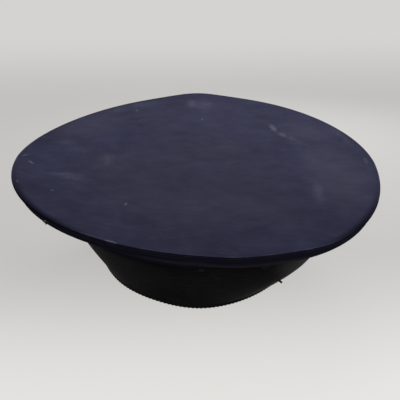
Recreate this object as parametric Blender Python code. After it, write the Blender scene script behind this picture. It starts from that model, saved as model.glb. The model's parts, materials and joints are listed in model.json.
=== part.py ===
"""A peaked cap resting on its peak and the back of its band, in metres, +Z up, front at +Y.

The pieces are modelled about the middle of the band's lower edge, as the cap is worn level.
One empty then tips them back until the peak and the band's back edge touch the floor.
"""

import math

import bmesh
import bpy
from mathutils import Euler, Vector

# Crown, seen from above: a wide oval with a blunt point at the front
CROWN_HALF_WIDTH = 0.1422
CROWN_FRONT = 0.1336
CROWN_BACK = 0.1334
CROWN_SET_BACK = 0.0086
CROWN_SHIFT_LEFT = 0.0015
CROWN_FRONT_ROUNDNESS = 1.87
CROWN_BACK_ROUNDNESS = 2.28

# Rim of the crown above the band's lower edge
RIM_HEIGHT = 0.0744
RIM_RISE = 0.0055
RIM_WARP = 0.0050
RIM_WARP_FALL = 1.6
POINT_REACH = 0.0016
POINT_RISE = 0.0017
POINT_HALF_WIDTH = 0.0250

# Cloth top, and the welt under its edge
TOP_THICKNESS = 0.0020
TOP_SAG = 0.0036
WELT_HEIGHT = 0.0030
WELT_WIDTH = 0.0044
WELT_SET_IN = 0.0016

# Sloping side panels, whose heads are set in under the welt
PANEL_THICKNESS = 0.0018
PANEL_SET_IN = 0.0034
PANEL_BELLY = 0.0010
PANEL_SLUMP = 0.0028
PANEL_SEAM_GAP = 0.0004

# Band, at its lower edge, and how far its wall leans out on the way up
BAND_HALF_WIDTH = 0.0830
BAND_HALF_LENGTH = 0.1020
BAND_FRONT_ROUNDNESS = 2.0
BAND_BACK_ROUNDNESS = 1.85
BAND_HEIGHT = 0.0379
BAND_SIDE_LEAN = 0.0236
BAND_END_LEAN = 0.0056
BAND_THICKNESS = 0.0025

# Peak: its root lies under the band's wall, and its edge hangs lowest across the middle
PEAK_HALF_SPAN = math.radians(64)
PEAK_REACH = 0.0440
PEAK_DROP = 0.0260
PEAK_CAMBER = 0.0035
PEAK_THICKNESS = 0.0020
PEAK_ROOT_SHARE = 0.35
PEAK_FORWARD_SHARE = 0.55
PEAK_FULLNESS = 0.75
PEAK_LEVELNESS = 2.6

# Making: gaps between pieces, the upright edge of each wall, and how fine the facets are
SEAM_GAP = 0.0003
LIP = 0.0024
COLUMNS = 96
WELT_SIDES = 8
WELT_SQUARENESS = 0.8
PANEL_ROWS = 5
PEAK_COLUMNS = 40

# Rows of facets, as shares of the crown's reach, the band's leaning height and the peak's reach
TOP_RINGS = (1, 0.96, 0.86, 0.70, 0.52, 0.34, 0.16)
BAND_ROWS = (0, 0.22, 0.48, 0.74, 1)
PEAK_ROWS = (0, 0.18, 0.36, 0.54, 0.72, 0.88, 1)

# From the top of the crown down to the top and the foot of the welt
WELT_TOP = TOP_THICKNESS + SEAM_GAP
WELT_FOOT = WELT_TOP + WELT_HEIGHT

# Where the old rim is bent up. Angles are degrees round the cap from its right side towards
# the front, and the lift is a share of the rim's warp.
RIM_BEND_COLUMNS = ("angle", "half_width", "lift")
RIM_BENDS = (
    (-67, 18, 0.36),
    (-161, 30, 0.19),
)

# How the old band has spread. Lean at the top and bulge at half height are shares of the
# band's side lean.
BAND_SPREAD_COLUMNS = ("angle", "half_width", "lean", "bulge")
BAND_SPREAD = (
    (-42, 70, 0.15, 0.36),
    (-152, 46, 0.00, 0.03),
)


def signed_power(value, power):
    return math.copysign(abs(value) ** power, value)


def oval(angle, front_roundness, back_roundness):
    """Point on an oval of half sizes 1. A roundness of 2 is an ellipse, under 2 more pointed."""
    roundness = front_roundness if math.sin(angle) >= 0 else back_roundness
    power = 2 / roundness
    return signed_power(math.cos(angle), power), signed_power(math.sin(angle), power)


def outward(outline, angle):
    """Level direction square to an outline, pointing out."""
    step = 0.01
    along = outline(angle + step) - outline(angle - step)
    return Vector((along.y, -along.x, 0)).normalized()


def fading(angle, row, columns):
    """One row of a table by its columns' names, and its weight at an angle, from 1 down to 0."""
    place = dict(zip(columns, row))
    turned = (math.degrees(angle) - place["angle"] + 180) % 360 - 180
    share = min(abs(turned) / place["half_width"], 1)
    return place, (1 + math.cos(math.pi * share)) / 2


def rim_bend(angle):
    """How far the old rim is bent up, as a share of its warp."""
    total = 0
    for row in RIM_BENDS:
        place, weight = fading(angle, row, RIM_BEND_COLUMNS)
        total += weight * place["lift"]
    return total


def crown_outline(angle):
    """Outer edge of the crown, at its top. The front point juts out and up a little."""
    across, ahead = oval(angle, CROWN_FRONT_ROUNDNESS, CROWN_BACK_ROUNDNESS)
    reach = CROWN_FRONT if ahead >= 0 else CROWN_BACK
    rise = RIM_RISE * ahead * abs(ahead)
    droop = RIM_WARP * across * (1 - ahead) ** RIM_WARP_FALL
    lift = RIM_WARP * rim_bend(angle)
    sideways = CROWN_HALF_WIDTH * across
    point = math.exp(-(sideways / POINT_HALF_WIDTH) ** 2) if ahead > 0 else 0
    return Vector((
        sideways - CROWN_SHIFT_LEFT,
        reach * ahead - CROWN_SET_BACK + POINT_REACH * point,
        RIM_HEIGHT + rise - droop + lift + POINT_RISE * point,
    ))


def rim_slack(angle):
    """How far the rim droops there, about -1 to 1, which leaves the panel below it slack."""
    across, ahead = oval(angle, CROWN_FRONT_ROUNDNESS, CROWN_BACK_ROUNDNESS)
    return 2 * across * ((1 - ahead) / 2) ** RIM_WARP_FALL


def top_point(angle, share):
    """Point on the cloth top, whose middle is at 0 and whose edge is at 1."""
    middle = Vector((-CROWN_SHIFT_LEFT, -CROWN_SET_BACK, RIM_HEIGHT - TOP_SAG))
    edge = crown_outline(angle)
    point = middle.lerp(edge, share)
    point.z = middle.z + (edge.z - middle.z) * share ** 2
    return point


def rim_outward(angle):
    """Direction at the top's edge, square to the edge and along the cloth, pointing out."""
    step = 0.01
    along = top_point(angle + step, 1) - top_point(angle - step, 1)
    radial = top_point(angle, 1) - top_point(angle, 1 - step)
    return along.cross(radial.cross(along)).normalized()


def under_rim(angle, inset, below):
    """Point a set distance in from the top's edge along the cloth, and straight down from there."""
    return top_point(angle, 1) - rim_outward(angle) * inset - Vector((0, 0, below))


def band_spread(angle, lean):
    """Extra lean of the old band, as a share of its side lean."""
    total = 0
    for row in BAND_SPREAD:
        place, weight = fading(angle, row, BAND_SPREAD_COLUMNS)
        total += weight * (place["lean"] * lean + place["bulge"] * 4 * lean * (1 - lean))
    return total


def band_outline(angle, lean=0.0, height=0.0):
    """Outer face of the band: how far it leans there, from 0 to 1, and its height."""
    across, ahead = oval(angle, BAND_FRONT_ROUNDNESS, BAND_BACK_ROUNDNESS)
    spread = Vector((across, ahead, 0)).normalized() * band_spread(angle, lean) * BAND_SIDE_LEAN
    return spread + Vector((
        (BAND_HALF_WIDTH + BAND_SIDE_LEAN * lean) * across,
        (BAND_HALF_LENGTH + BAND_END_LEAN * lean) * ahead,
        height,
    ))


def band_edge(angle, inset, below):
    """Point a set distance inside the band's lower outline and below it."""
    out = outward(band_outline, angle)
    return band_outline(angle) - out * inset - Vector((0, 0, below))


def finish(name, mesh, material):
    """An object of its own for one piece, shaded smooth."""
    mesh.materials.append(material)
    mesh.shade_smooth()
    mesh.set_sharp_from_angle(angle=math.radians(40))
    piece = bpy.data.objects.new(name, mesh)
    bpy.context.collection.objects.link(piece)
    return piece


def sheet(name, rows, closed, material, thickness, centre=None):
    """A cloth or leather wall: rows of points make its outer face, and it is thickened inwards.

    Rows that close on themselves can end in one centre point.
    """
    work = bmesh.new()
    grid = [[work.verts.new(point) for point in row] for row in rows]
    for lower, upper in zip(grid, grid[1:]):
        count = len(lower) if closed else len(lower) - 1
        for i in range(count):
            j = (i + 1) % len(lower)
            work.faces.new((lower[i], lower[j], upper[j], upper[i]))
    if centre:
        last = grid[-1]
        hub = work.verts.new(centre)
        for i, vertex in enumerate(last):
            work.faces.new((vertex, last[(i + 1) % len(last)], hub))
    mesh = bpy.data.meshes.new(name)
    work.to_mesh(mesh)
    work.free()
    piece = finish(name, mesh, material)
    wall = piece.modifiers.new("Wall", "SOLIDIFY")
    wall.thickness = thickness
    wall.offset = -1
    wall.use_even_offset = True
    return piece


def finish_material(name, colour, roughness):
    material = bpy.data.materials.new(name)
    material.use_nodes = True
    shader = material.node_tree.nodes["Principled BSDF"]
    shader.inputs["Base Color"].default_value = (*colour, 1)
    shader.inputs["Roughness"].default_value = roughness
    shader.inputs["Metallic"].default_value = 0
    return material


def angles(start, end, count):
    return [start + (end - start) * i / count for i in range(count + 1)]


def make_crown_top(cloth):
    """Cloth disc that reaches out to the crown's outline and sags a little towards its middle."""
    around = angles(0, math.tau, COLUMNS)[:-1]
    rows = [[top_point(angle, share) for angle in around] for share in TOP_RINGS]
    return sheet("crown_top", rows, True, cloth, TOP_THICKNESS, top_point(0, 0))


def make_crown_welt(cloth):
    """Padded welt under the top's edge: a rounded section carried along the outline."""
    work = bmesh.new()
    grid = []
    full = 1 / math.cos(math.pi / WELT_SIDES) ** WELT_SQUARENESS
    for angle in angles(0, math.tau, COLUMNS)[:-1]:
        out = rim_outward(angle)
        centre = under_rim(angle, WELT_SET_IN + WELT_WIDTH / 2, WELT_TOP + WELT_HEIGHT / 2)
        row = []
        for turn in angles(0, math.tau, WELT_SIDES)[:-1]:
            # Half a side of turn sets a face, not an edge, outwards and upwards.
            turn += math.pi / WELT_SIDES
            across = signed_power(math.cos(turn), WELT_SQUARENESS) * WELT_WIDTH / 2 * full
            high = signed_power(math.sin(turn), WELT_SQUARENESS) * WELT_HEIGHT / 2 * full
            row.append(work.verts.new(centre + out * across + Vector((0, 0, high))))
        grid.append(row)
    for i, row in enumerate(grid):
        ahead = grid[(i + 1) % COLUMNS]
        for k in range(WELT_SIDES):
            m = (k + 1) % WELT_SIDES
            work.faces.new((row[k], ahead[k], ahead[m], row[m]))
    mesh = bpy.data.meshes.new("crown_welt")
    work.to_mesh(mesh)
    work.free()
    return finish("crown_welt", mesh, cloth)


def panel_column(angle, sideways):
    """Section of the side panel from the band's top edge up to the welt."""
    foot = band_outline(angle, 1, BAND_HEIGHT + SEAM_GAP)
    head = under_rim(angle, PANEL_SET_IN, WELT_FOOT + SEAM_GAP)
    low = foot + Vector((0, 0, LIP))
    high = under_rim(angle, PANEL_SET_IN, WELT_FOOT + SEAM_GAP + LIP)
    along = high - low
    level = Vector((along.x, along.y, 0)).normalized()
    outwards = (level * along.z - Vector((0, 0, along.xy.length))).normalized()
    belly = PANEL_BELLY + PANEL_SLUMP * rim_slack(angle)
    column = [foot]
    for i in range(PANEL_ROWS + 1):
        share = i / PANEL_ROWS
        swell = 4 * share * (1 - share) * belly
        column.append(low + along * share + outwards * swell)
    column.append(head)
    return [point + sideways for point in column]


def make_side_panel(name, start, cloth):
    """One of four panels that meet at seams on the front, the back and each side."""
    count = COLUMNS // 4
    turns = angles(start, start + math.tau / 4, count)
    columns = []
    for i, angle in enumerate(turns):
        sideways = Vector((0, 0, 0))
        if i in (0, count):
            # The end columns stand back from the seam by half its gap.
            along = outward(crown_outline, angle).cross(Vector((0, 0, -1)))
            sideways = along * (PANEL_SEAM_GAP / 2 if i == 0 else -PANEL_SEAM_GAP / 2)
        columns.append(panel_column(angle, sideways))
    rows = [list(row) for row in zip(*columns)]
    return sheet(name, rows, False, cloth, PANEL_THICKNESS)


def make_band(mohair):
    """Band round the head, upright along both edges and leaning out between them."""
    leaning = BAND_HEIGHT - 2 * LIP
    places = [(0, 0)] + [(lean, LIP + leaning * lean) for lean in BAND_ROWS] + [(1, BAND_HEIGHT)]
    around = angles(0, math.tau, COLUMNS)[:-1]
    rows = [[band_outline(angle, lean, height) for angle in around] for lean, height in places]
    return sheet("band", rows, True, mohair, BAND_THICKNESS)


def peak_point(share, out):
    """Point on the peak's upper face: share runs from -1 to 1 across it, out from the band."""
    angle = math.pi / 2 - share * PEAK_HALF_SPAN
    root = band_edge(angle, BAND_THICKNESS * PEAK_ROOT_SHARE, SEAM_GAP)
    depth = math.cos(share * math.pi / 2) ** PEAK_FULLNESS
    side = outward(band_outline, angle)
    forward = side.lerp(Vector((0, 1, 0)), PEAK_FORWARD_SHARE).normalized()
    drop = PEAK_DROP * (1 - abs(share) ** PEAK_LEVELNESS)
    edge = root + forward * PEAK_REACH * depth - Vector((0, 0, drop))
    camber = PEAK_CAMBER * 4 * out * (1 - out) * depth
    return root.lerp(edge, out) + Vector((0, 0, camber))


def make_peak(leather):
    """Crescent of stiff leather that starts under the band's front edge and slopes down."""
    across = angles(-1, 1, PEAK_COLUMNS)[1:-1]
    rows = [[peak_point(share, reach) for share in across] for reach in PEAK_ROWS]
    return sheet("peak", rows, False, leather, PEAK_THICKNESS)


def solid_points(piece):
    """The piece's points after its modifiers."""
    graph = bpy.context.evaluated_depsgraph_get()
    solid = piece.evaluated_get(graph)
    mesh = solid.to_mesh()
    points = [vertex.co.copy() for vertex in mesh.vertices]
    solid.to_mesh_clear()
    return points


def lowest(points, tilt):
    turn = Euler((tilt, 0, 0)).to_matrix()
    return min((turn @ point).z for point in points)


def resting_tilt(peak_points, band_points):
    """Angle at which the peak's edge and the back of the band are equally low."""
    small = 0.0
    large = math.radians(30)
    for _ in range(40):
        middle = (small + large) / 2
        if lowest(peak_points, middle) < lowest(band_points, middle):
            small = middle
        else:
            large = middle
    return large


def set_down(pieces):
    """Tips the cap back on its peak and puts the middle of its footprint at the origin."""
    bpy.context.view_layer.update()
    points = {piece.name: solid_points(piece) for piece in pieces}
    tilt = resting_tilt(points["peak"], points["band"])
    turn = Euler((tilt, 0, 0)).to_matrix()
    placed = [turn @ point for group in points.values() for point in group]
    low = Vector(min(point[i] for point in placed) for i in range(3))
    high = Vector(max(point[i] for point in placed) for i in range(3))
    cap = bpy.data.objects.new("cap", None)
    bpy.context.collection.objects.link(cap)
    cap.rotation_euler = (tilt, 0, 0)
    cap.location = (-(low.x + high.x) / 2, -(low.y + high.y) / 2, -low.z)
    for piece in pieces:
        piece.parent = cap
    print(f"tipped back {math.degrees(tilt):.3f} degrees, moved by {tuple(cap.location)}")


def main():
    for thing in list(bpy.data.objects):
        bpy.data.objects.remove(thing)
    cloth = finish_material("navy cloth", (0.040, 0.041, 0.062), 0.9)
    mohair = finish_material("black mohair", (0.006, 0.006, 0.007), 0.8)
    leather = finish_material("black leather", (0.008, 0.008, 0.009), 0.3)
    quarter = math.tau / 4
    pieces = [
        make_crown_top(cloth),
        make_crown_welt(cloth),
        make_side_panel("panel_front_right", 0, cloth),
        make_side_panel("panel_front_left", quarter, cloth),
        make_side_panel("panel_back_left", 2 * quarter, cloth),
        make_side_panel("panel_back_right", 3 * quarter, cloth),
        make_band(mohair),
        make_peak(leather),
    ]
    set_down(pieces)


main()
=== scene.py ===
# %% [markdown]
# A peaked cap at rest on a pale floor
#
# A peaked cap is sewn from a few flat pieces. A stiff cloth top laps over a thin welt, four
# panels slope in from the welt to a ribbed mohair band, and a leather peak comes out from under
# the band's front. This lesson cuts each piece flat from a primitive, carries it to its place
# on the cap, and gives it the finish of its cloth.

# %% The frame that the pieces fit
import json
import math

import bpy
from mathutils import Matrix, Vector, noise


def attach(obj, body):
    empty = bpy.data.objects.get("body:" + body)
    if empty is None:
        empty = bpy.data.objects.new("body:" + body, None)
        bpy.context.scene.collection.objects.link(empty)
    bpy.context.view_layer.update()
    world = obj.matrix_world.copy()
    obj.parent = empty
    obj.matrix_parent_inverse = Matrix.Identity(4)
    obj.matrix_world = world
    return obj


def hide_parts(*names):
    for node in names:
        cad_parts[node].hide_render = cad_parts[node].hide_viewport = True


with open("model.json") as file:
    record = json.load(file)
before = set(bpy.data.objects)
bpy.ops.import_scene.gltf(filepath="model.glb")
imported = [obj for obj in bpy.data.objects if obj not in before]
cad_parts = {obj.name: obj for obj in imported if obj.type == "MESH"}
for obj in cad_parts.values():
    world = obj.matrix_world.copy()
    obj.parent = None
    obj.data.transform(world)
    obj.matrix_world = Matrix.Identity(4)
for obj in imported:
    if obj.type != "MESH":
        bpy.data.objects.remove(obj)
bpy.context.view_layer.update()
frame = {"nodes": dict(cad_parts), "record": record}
bpy.ops.object.select_all(action="DESELECT")
print("solids:", ", ".join(sorted(frame["nodes"])))

# %% [markdown]
# The cap is worn level, but it rests tipped back on its peak and the back of its band. Its
# shape is easier to write for the worn cap, with the middle of the band's lower edge at the
# origin, the front at +Y and the wearer's right at +X. The frame's record says where that
# place is at rest and which way the cap's opening faces, so one matrix takes every point from
# the worn cap to the resting one.

# %% From the worn cap to the resting cap
opening = frame["record"]["mounts"][0]
_, facing_y, facing_z = opening["axis"]
tipped_back = math.atan2(facing_y, -facing_z)
AT_REST = Matrix.Translation(opening["pos_m"]) @ Matrix.Rotation(tipped_back, 4, "X")
print(f"tipped back {math.degrees(tipped_back):.2f} degrees")

# %% [markdown]
# Sizes are the cap's own, in metres, and each stands with the piece that needs it first. The
# crown is a wide oval with a blunt point at the front. Its rim rises a little to the front, and
# on this worn cap it droops at the right rear and lifts at the left rear. Two places are bent
# up besides. Here and in the tables that follow, an angle is in degrees and turns from the
# wearer's right towards the front.

# %% Sizes of the crown
UP = Vector((0, 0, 1))
CROWN_HALF_WIDTH = 0.1422
CROWN_FRONT = 0.1336
CROWN_BACK = 0.1334
CROWN_SET_BACK = 0.0086
CROWN_SHIFT_LEFT = 0.0015
CROWN_FRONT_ROUNDNESS = 1.87
CROWN_BACK_ROUNDNESS = 2.28
RIM_HEIGHT = 0.0744
RIM_RISE = 0.0055
RIM_WARP = 0.0050
RIM_WARP_FALL = 1.6
POINT_REACH = 0.0016
POINT_RISE = 0.0017
POINT_HALF_WIDTH = 0.0250
TOP_SAG = 0.0036
RIM_BEND_COLUMNS = ("angle", "half_width", "lift")
RIM_BENDS = (
    (-67, 18, 0.36),
    (-161, 30, 0.19),
)


# %% Outline of the crown
def signed_power(value, power):
    return math.copysign(abs(value) ** power, value)


def oval(angle, front_roundness, back_roundness):
    """Point on an oval of half sizes 1. A roundness of 2 is an ellipse, under 2 more pointed."""
    roundness = front_roundness if math.sin(angle) >= 0 else back_roundness
    power = 2 / roundness
    return signed_power(math.cos(angle), power), signed_power(math.sin(angle), power)


def arch(share):
    """0 at 0 and at 1, and 1 halfway between them."""
    return 4 * share * (1 - share)


def sum_at(angle, columns, rows, worth):
    """Adds up what a table's rows are worth. Each fades out to both sides of its own angle."""
    total = 0
    for row in rows:
        place = dict(zip(columns, row))
        turned = (math.degrees(angle) - place["angle"] + 180) % 360 - 180
        share = min(abs(turned) / place["half_width"], 1)
        total += (1 + math.cos(math.pi * share)) / 2 * worth(place)
    return total


def rim_bend(angle):
    """How far the old rim is bent up, as a share of its warp."""
    return sum_at(angle, RIM_BEND_COLUMNS, RIM_BENDS, lambda bend: bend["lift"])


def crown_outline(angle):
    """Outer edge of the crown, at its top. The front point juts out and up a little."""
    across, ahead = oval(angle, CROWN_FRONT_ROUNDNESS, CROWN_BACK_ROUNDNESS)
    reach = CROWN_FRONT if ahead >= 0 else CROWN_BACK
    rise = RIM_RISE * ahead * abs(ahead)
    droop = RIM_WARP * across * (1 - ahead) ** RIM_WARP_FALL
    lift = RIM_WARP * rim_bend(angle)
    sideways = CROWN_HALF_WIDTH * across
    point = math.exp(-(sideways / POINT_HALF_WIDTH) ** 2) if ahead > 0 else 0
    return Vector((
        sideways - CROWN_SHIFT_LEFT,
        reach * ahead - CROWN_SET_BACK + POINT_REACH * point,
        RIM_HEIGHT + rise - droop + lift + POINT_RISE * point,
    ))


def rim_slack(angle):
    """How far the rim droops there, about -1 to 1, which leaves the panel below it slack."""
    across, ahead = oval(angle, CROWN_FRONT_ROUNDNESS, CROWN_BACK_ROUNDNESS)
    return 2 * across * ((1 - ahead) / 2) ** RIM_WARP_FALL


def top_point(angle, share):
    """Point on the cloth top, whose middle is at 0 and whose edge is at 1."""
    middle = Vector((-CROWN_SHIFT_LEFT, -CROWN_SET_BACK, RIM_HEIGHT - TOP_SAG))
    edge = crown_outline(angle)
    point = middle.lerp(edge, share)
    point.z = middle.z + (edge.z - middle.z) * share ** 2
    return point


def rim_outward(angle):
    """Direction at the top's edge, square to the edge and along the cloth, pointing out."""
    step = 0.01
    along = top_point(angle + step, 1) - top_point(angle - step, 1)
    radial = top_point(angle, 1) - top_point(angle, 1 - step)
    return along.cross(radial.cross(along)).normalized()


def under_rim(angle, inset, below):
    """Point a set distance in from the top's edge along the cloth, and straight down from there."""
    return top_point(angle, 1) - rim_outward(angle) * inset - UP * below


def turned_lengths(outline, count):
    """Length along an outline up to each of its steps, with the whole length last."""
    points = [outline(math.tau * i / count) for i in range(count + 1)]
    lengths = [0.0]
    for here, there in zip(points, points[1:]):
        lengths.append(lengths[-1] + (there - here).length)
    return lengths


def length_at(lengths, turn):
    """Length along an outline at a turn from 0 to 1."""
    spot = turn * (len(lengths) - 1)
    step = min(int(spot), len(lengths) - 2)
    return lengths[step] + (lengths[step + 1] - lengths[step]) * (spot - step)


LENGTH_STEPS = 720
RIM_LENGTHS = turned_lengths(crown_outline, LENGTH_STEPS)
print(f"rim: {RIM_LENGTHS[-1]:.3f} m round")

# %% [markdown]
# Every piece starts as a flat primitive that is cut to a unit square or circle. One helper
# carries its points to the cap and, at the same time, writes the weave's own map in metres,
# measured along the cloth. A weave that reads this map follows the cloth round a curve, as
# threads do, and has the same scale on every piece.


# %% Helpers that cut, carry and finish a piece
SEWN_WITHIN = 0.00002
ROUNDED_FROM = math.radians(50)
ROUNDING_STEPS = 3
SMOOTH_BELOW = math.radians(60)


def cut_strip(name, columns, rows):
    """A flat unit square of cloth, cut into columns and rows."""
    bpy.ops.mesh.primitive_grid_add(x_subdivisions=columns, y_subdivisions=rows, size=1)
    piece = bpy.context.object
    piece.name = piece.data.name = name
    for vertex in piece.data.vertices:
        vertex.co += Vector((0.5, 0.5, 0))
    return piece


def carry(piece, place, weave, **traits):
    """Takes each point of a flat piece to its place on the cap and maps the weave to it.

    Each trait is a number at each point that a material can read by its name.
    """
    mesh = piece.data
    cut = [vertex.co.copy() for vertex in mesh.vertices]
    layer = mesh.uv_layers[0]
    layer.name = "Weave"
    for loop in mesh.loops:
        layer.uv[loop.index].vector = weave(cut[loop.vertex_index])
    for name, trait in traits.items():
        numbers = mesh.attributes.new(name, "FLOAT", "POINT")
        for number, point in zip(numbers.data, cut):
            number.value = trait(point)
    for vertex, point in zip(mesh.vertices, cut):
        vertex.co = AT_REST @ place(point)


def in_edit_mode(work):
    """Runs a few edit mode steps on all of the active piece."""
    bpy.ops.object.mode_set(mode="EDIT")
    bpy.ops.mesh.select_all(action="SELECT")
    work()
    bpy.ops.object.mode_set(mode="OBJECT")


def sew_ends():
    """Joins the edges of a strip that meet, and turns its faces outwards."""
    bpy.ops.mesh.remove_doubles(threshold=SEWN_WITHIN)
    bpy.ops.mesh.normals_make_consistent(inside=False)


def apply(kind, **settings):
    """Adds a modifier to the active piece and applies it."""
    step = bpy.context.object.modifiers.new(kind.title(), kind)
    for name, value in settings.items():
        setattr(step, name, value)
    bpy.ops.object.modifier_apply(modifier=step.name)


def thicken(thickness, rounding):
    """Gives a skin its wall, inwards, and rounds the wall's edges."""
    apply("SOLIDIFY", thickness=thickness, offset=-1, use_even_offset=True)
    apply("BEVEL", width=rounding, segments=ROUNDING_STEPS, limit_method="ANGLE",
          angle_limit=ROUNDED_FROM)


def finish_piece(piece, material, slot, *nodes):
    """Smooth shading, the material, the cap's empty as its parent, and the solids that the piece
    stands for hidden.
    """
    bpy.ops.object.shade_smooth_by_angle(angle=SMOOTH_BELOW)
    piece.data.materials.clear()
    piece.data.materials.append(material)
    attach(piece, "root")
    if nodes:
        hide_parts(*nodes)
    piece.select_set(False)
    size = piece.dimensions * 1000
    faces = len(piece.data.polygons)
    print(f"{piece.name}: {size.x:.1f} x {size.y:.1f} x {size.z:.1f} mm, {faces} faces")


def roll(place, size, height):
    """Soft unevenness of a hand-sewn piece: smooth noise of that size, up to that height."""
    return noise.noise(place / size) * height


# %% [markdown]
# A finish is a tree of nodes. A few helpers keep the trees short to write. The first places a
# node and joins its inputs. The others are for sums, fades, blends and noise, for the map and
# the numbers that a piece carries, and for node groups and materials.


# %% Helpers for materials
def add(tree, kind, feeds, **settings):
    """One node. feeds gives each input a value, or the socket that it comes from."""
    made = tree.nodes.new("ShaderNode" + kind)
    for name, value in settings.items():
        setattr(made, name, value)
    for name, value in feeds.items():
        if isinstance(value, bpy.types.NodeSocket):
            tree.links.new(value, made.inputs[name])
        else:
            made.inputs[name].default_value = value
    return made


def math_node(tree, operation, *values):
    """A Math node's result from one to three numbers or sockets."""
    return add(tree, "Math", dict(enumerate(values)), operation=operation).outputs[0]


def times(tree, value, factor, plus=0):
    """A product, with a number or socket added to it."""
    return math_node(tree, "MULTIPLY_ADD", value, factor, plus)


def vector_node(tree, operation, *values, gives="Vector"):
    """A Vector Math node's result from one to three vectors or sockets."""
    return add(tree, "VectorMath", dict(enumerate(values)), operation=operation).outputs[gives]


def fade(tree, value, start, end):
    """0 where the value is at start, 1 where it is at end, with soft ends."""
    made = add(tree, "MapRange", {0: value, 1: start, 2: end}, interpolation_type="SMOOTHSTEP")
    return made.outputs[0]


def blend_colour(tree, share, first, second):
    """Colour between two colours or sockets."""
    made = add(tree, "Mix", {"Factor": share, 6: first, 7: second}, data_type="RGBA")
    return made.outputs[2]


def tinted(tree, colour, towards, mask, share):
    """The colour, moved towards another where the mask says, by that share at most."""
    return blend_colour(tree, times(tree, mask, share), colour, towards)


def grain(tree, vector, scale, stretch=(1, 1, 1), detail=2.0, roughness=0.5):
    """Noise from 0 to 1. The scale is in lumps per metre, stretched along each axis."""
    sized = add(tree, "Mapping", {"Vector": vector, "Scale": stretch}, vector_type="POINT")
    feeds = {"Vector": sized.outputs[0], "Scale": scale, "Detail": detail, "Roughness": roughness}
    return add(tree, "TexNoise", feeds).outputs[0]


def open_group(name, takes, *gives):
    """A node group. takes says of what kind each input is, and gives names the outputs."""
    tree = bpy.data.node_groups.new(name, "ShaderNodeTree")
    for label, kind in takes.items():
        tree.interface.new_socket(label, in_out="INPUT", socket_type="NodeSocket" + kind)
    for label in gives:
        tree.interface.new_socket(label, in_out="OUTPUT", socket_type="NodeSocketFloat")
    return tree, tree.nodes.new("NodeGroupInput").outputs, tree.nodes.new("NodeGroupOutput").inputs


def use_group(tree, group, feeds):
    """The outputs of a group that is placed in a tree."""
    return add(tree, "Group", feeds, node_tree=group).outputs


def weave_map(tree):
    """The weave's map, in metres along the cloth."""
    return add(tree, "UVMap", {}, uv_map="Weave").outputs[0]


def carried(tree, name):
    """The number of that name that a piece carries at each of its points."""
    return add(tree, "Attribute", {}, attribute_name=name).outputs["Fac"]


def open_material(name, roughness, **sockets):
    """A material's tree and its shader, with the values that are the same all over."""
    material = bpy.data.materials.new(name)
    material.use_nodes = True
    shader = material.node_tree.nodes["Principled BSDF"]
    shader.inputs["Roughness"].default_value = roughness
    for label, value in sockets.items():
        shader.inputs[label.replace("_", " ")].default_value = value
    return material, material.node_tree, shader


def close_material(tree, shader, colour, height, strength, distance):
    """Joins a material's colour and its bump, as high as that distance, to its shader."""
    bump = add(tree, "Bump", {"Strength": strength, "Distance": distance, "Height": height})
    tree.links.new(colour, shader.inputs["Base Color"])
    tree.links.new(bump.outputs[0], shader.inputs["Normal"])


# %% [markdown]
# Three effects are shared. Woven ribs draw slanting or upright ribs that wander a little, with
# fine threads across them, for the twill and for the braid. Worn nap is the uneven tone of
# cloth that has been brushed and handled: broad clouds, small blotches, short streaks along the
# weft that come and go, and fine fluff. A mark is one soft, broken patch at a chosen place.


# %% Woven ribs
THREADS_TO_A_RIB = 1.4
THREAD_HEIGHT = 0.35
RIB_HEIGHT = 0.35


def make_woven_ribs():
    tree, given, out = open_group(
        "Woven ribs",
        {"Weave": "Vector", "Pitch": "Float", "Slant": "Float", "Wander": "Float"},
        "Height",
    )
    wander = grain(tree, given["Weave"], scale=90, detail=1)
    turned = add(tree, "VectorRotate", {"Vector": given["Weave"], "Angle": given["Slant"]},
                 rotation_type="Z_AXIS").outputs[0]
    part = add(tree, "SeparateXYZ", {0: turned}).outputs
    shift = times(tree, wander, given["Wander"])
    across = math_node(tree, "DIVIDE", math_node(tree, "ADD", part[0], shift), given["Pitch"])
    along = math_node(tree, "DIVIDE", part[1], given["Pitch"])
    rib = math_node(tree, "SINE", times(tree, across, math.tau))
    thread = math_node(tree, "SINE", times(tree, along, math.tau * THREADS_TO_A_RIB))
    crossed = times(tree, rib, thread)
    mixed = times(tree, crossed, THREAD_HEIGHT, rib)
    tree.links.new(times(tree, mixed, RIB_HEIGHT, 0.5), out["Height"])
    return tree


# %% Worn nap
def make_worn_nap():
    tree, given, out = open_group(
        "Worn nap", {"Weave": "Vector"}, "Cloud", "Blotch", "Streak", "Fluff",
    )
    cloud = grain(tree, given["Weave"], scale=20, detail=3, roughness=0.6)
    blotch = grain(tree, given["Weave"], scale=85, stretch=(0.7, 1, 1), detail=4, roughness=0.65)
    streak = grain(tree, given["Weave"], scale=1000, stretch=(0.09, 1, 1), detail=2)
    brushed = grain(tree, given["Weave"], scale=60, stretch=(0.5, 1, 1), detail=2)
    fluff = grain(tree, given["Weave"], scale=900, detail=3, roughness=0.7)
    streaks = times(tree, fade(tree, streak, start=0.35, end=0.7),
                    fade(tree, brushed, start=0.35, end=0.6))
    tree.links.new(fade(tree, cloud, start=0.3, end=0.7), out["Cloud"])
    tree.links.new(fade(tree, blotch, start=0.35, end=0.75), out["Blotch"])
    tree.links.new(streaks, out["Streak"])
    tree.links.new(fade(tree, fluff, start=0.25, end=0.75), out["Fluff"])
    return tree


# %% One mark
MARK_SOFTNESS = (1.0, 0.1)
SPECK_LEVELS = (0.58, 0.68)
SPECKS_REACH = (0.0, 0.25)
MORE_IN_THE_MIDDLE = 0.10


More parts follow.
